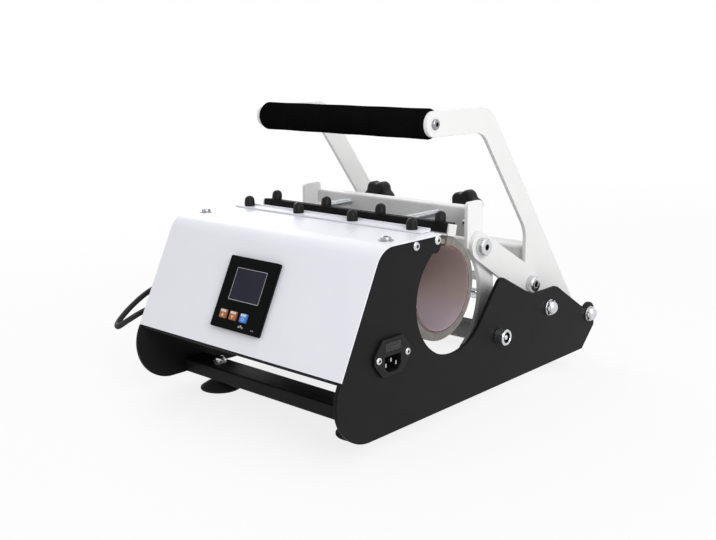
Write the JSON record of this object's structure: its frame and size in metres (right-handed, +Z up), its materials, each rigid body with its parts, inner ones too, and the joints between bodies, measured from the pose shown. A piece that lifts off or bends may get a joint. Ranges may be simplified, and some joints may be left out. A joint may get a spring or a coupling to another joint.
{
  "type": "mug heat press",
  "caption": "Table-top press with a wrap-round heater for mugs: a sloped control box between two side plates, and a long handle that shuts the rear half of the heater through two links.",
  "frame": {"origin": "middle of the footprint, on the surface the feet rest on", "axes": "+X to the right plate with the power inlet, +Y from the control panel to the handle pivot, +Z up"},
  "size_m": [0.3605, 0.4452, 0.302],
  "materials": {
    "black_paint": "charcoal powder coat, fine texture",
    "white_paint": "white powder coat, satin",
    "brushed_steel": "brushed, white coated above",
    "bright_steel": "zinc plated, bright",
    "black_plastic": "moulded, matte",
    "black_rubber": "soft, matte",
    "black_foam": "closed foam sleeve",
    "silicone": "silicone over grey insulation",
    "screen": "dark display window",
    "orange_key": "printed key",
    "blue_key": "printed key",
    "circuit_board": "lacquered board"
  },
  "bodies": {
    "base": {"side_plate_left": "black_paint", "side_plate_right": "black_paint", "front_cover": "white_paint", "inner_tray": "black_paint", "front_crossmember": "black_paint", "rear_crossmember": "black_paint", "rear_tie_rod": "bright_steel", "frame_pivot_shaft": "bright_steel", "handle_pivot_rod": "bright_steel", "frame_spacer_left": "brushed_steel", "frame_spacer_right": "brushed_steel", "handle_spacer_left": "brushed_steel", "handle_spacer_right": "brushed_steel", "heater_wrap_front": "silicone", "front_clamp_strip": "white_paint", "front_cap_1": "black_plastic", "front_cap_2": "black_plastic", "front_cap_3": "black_plastic", "front_cap_4": "black_plastic", "foot_1": "black_rubber", "foot_2": "black_rubber", "foot_3": "black_rubber", "foot_4": "black_rubber", "controller_housing": "black_plastic", "controller_screen": "screen", "power_inlet": "black_plastic", "control_board": "circuit_board", "heater_lead": "black_rubber", "lead_grommet": "black_rubber"},
    "press_frame": {"frame_side_left": "brushed_steel", "frame_side_right": "brushed_steel", "frame_bracket": "brushed_steel", "cradle_strip_upper": "brushed_steel", "cradle_strip_lower": "bright_steel", "cradle_rod": "bright_steel", "heater_wrap_rear": "silicone", "link_frame_bolt_left": "bright_steel", "link_frame_bolt_right": "bright_steel"},
    "rear_clamp": {"rear_clamp_bar": "black_paint", "rear_cap_1": "black_plastic", "rear_cap_2": "black_plastic", "rear_cap_3": "black_plastic", "rear_cap_4": "black_plastic", "knob_screw_left": "bright_steel", "knob_screw_right": "bright_steel"},
    "knob_left": {"star_knob_left": "black_plastic"},
    "knob_right": {"star_knob_right": "black_plastic"},
    "links": {"link_left": "white_paint", "link_right": "white_paint", "link_arm_bolt_left": "bright_steel", "link_arm_bolt_right": "bright_steel"},
    "handle": {"handle_arm_left": "white_paint", "handle_arm_right": "white_paint", "handle_grip": "black_foam", "grip_rod": "bright_steel", "handle_cross_tie": "white_paint"},
    "button_1": {"button_1": "orange_key"},
    "button_2": {"button_2": "orange_key"},
    "button_3": {"button_3": "blue_key"},
    "fuse_drawer": {"fuse_drawer": "black_plastic"}
  },
  "joints": [
    {"name": "handle_swing", "type": "hinge", "parent": "base", "child": "handle", "pos_m": [0, 0.2091, 0.0533], "axis": [-1, 0, 0], "range_deg": [0, 40]},
    {"name": "frame_swing", "type": "hinge", "parent": "base", "child": "press_frame", "pos_m": [0, 0.0209, 0.068], "axis": [-1, 0, 0], "range_deg": [0, 25.2]},
    {"name": "link_turn", "type": "hinge", "parent": "press_frame", "child": "links", "pos_m": [0, 0.0174, 0.1598], "axis": [-1, 0, 0], "range_deg": [-56, 0]},
    {"name": "knob_left_turn", "type": "hinge", "parent": "press_frame", "child": "knob_left", "pos_m": [-0.0635, 0.0759, 0.1881], "axis": [0, -1, 0], "range_deg": [0, 1440.2]},
    {"name": "knob_right_turn", "type": "hinge", "parent": "press_frame", "child": "knob_right", "pos_m": [0.0635, 0.0759, 0.1881], "axis": [0, -1, 0], "range_deg": [0, 1440.2]},
    {"name": "clamp_slide", "type": "slide", "parent": "press_frame", "child": "rear_clamp", "axis": [0, 1, 0], "range_m": [0, 0.005]},
    {"name": "button_1_press", "type": "slide", "parent": "base", "child": "button_1", "axis": [0, 0.8996, -0.4368], "range_m": [0, 0.001], "stiffness_N_per_m": 500},
    {"name": "button_2_press", "type": "slide", "parent": "base", "child": "button_2", "axis": [0, 0.8996, -0.4368], "range_m": [0, 0.001], "stiffness_N_per_m": 500},
    {"name": "button_3_press", "type": "slide", "parent": "base", "child": "button_3", "axis": [0, 0.8996, -0.4368], "range_m": [0, 0.001], "stiffness_N_per_m": 500},
    {"name": "fuse_drawer_slide", "type": "slide", "parent": "base", "child": "fuse_drawer", "axis": [1, 0, 0], "range_m": [0, 0.016]}
  ],
  "couplings": [
    {"joint": "frame_swing", "follows": "handle_swing", "ratio": 0.62718},
    {"joint": "link_turn", "follows": "handle_swing", "ratio": -1.3954},
    {"joint": "knob_left_turn", "follows": "clamp_slide", "rad_per_m": 5026.5},
    {"joint": "knob_right_turn", "follows": "clamp_slide", "rad_per_m": 5026.5}
  ]
}
